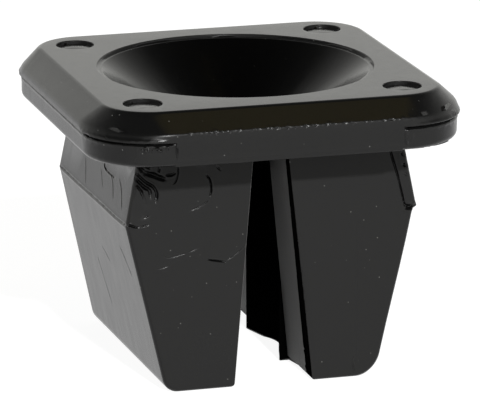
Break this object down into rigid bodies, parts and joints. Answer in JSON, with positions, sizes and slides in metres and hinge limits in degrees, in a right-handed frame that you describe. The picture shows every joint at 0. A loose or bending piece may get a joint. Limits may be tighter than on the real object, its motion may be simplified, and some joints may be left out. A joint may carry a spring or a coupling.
{
  "type": "plastic body nut",
  "caption": "Square flanged plastic nut that snaps into a square panel hole; a screw driven down its funnel spreads its slotted legs.",
  "frame": {"origin": "middle of the flange's underside, where it seats on the panel", "axes": "+Z along the screw's axis, out of the panel towards the screw's head; the slot between the legs runs along Y and opens to the front, -Y, and the back"},
  "size_m": [0.016, 0.016, 0.0123],
  "materials": {
    "nylon": "satin black moulded nylon"
  },
  "bodies": {
    "root": {"body_nut": "nylon"}
  },
  "joints": []
}
